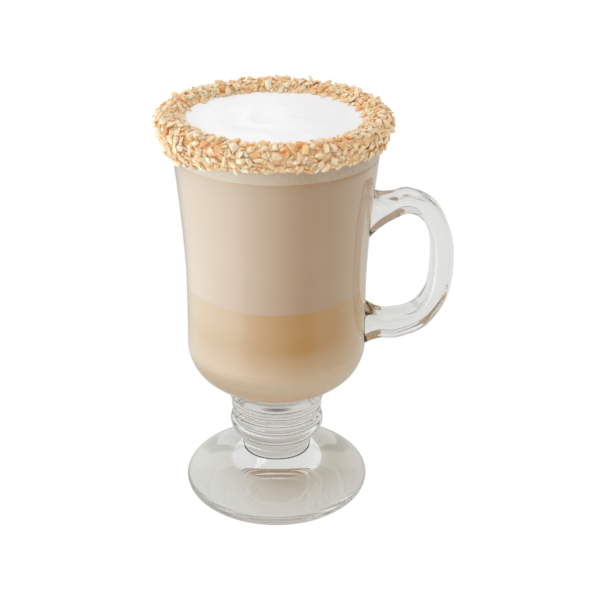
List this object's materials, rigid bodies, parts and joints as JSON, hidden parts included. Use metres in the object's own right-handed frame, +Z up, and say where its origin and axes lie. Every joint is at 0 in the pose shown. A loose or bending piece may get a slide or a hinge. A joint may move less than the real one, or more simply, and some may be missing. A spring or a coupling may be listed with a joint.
{
  "type": "salted caramel latte",
  "caption": "Footed glass mug of layered caramel latte with milk foam and a crust of chopped roasted nuts round the rim.",
  "frame": {"origin": "centre of the foot's flat underside, on the glass's own axis", "axes": "+Z up along the glass's axis, +X towards the handle, +Y away from the viewer when the handle is on the right"},
  "size_m": [0.1091, 0.0855, 0.1571],
  "materials": {
    "clear_glass": "clear, smooth pressed glass",
    "caramel_latte": "golden caramel and coffee, opaque",
    "milk_coffee": "pale milk coffee, opaque",
    "milk_foam": "white milk foam",
    "nut_crust": "chopped roasted nuts held by caramel"
  },
  "bodies": {
    "root": {"glass_mug": "clear_glass", "caramel_layer": "caramel_latte", "latte_layer": "milk_coffee", "milk_foam": "milk_foam", "nut_rim": "nut_crust"}
  },
  "joints": []
}
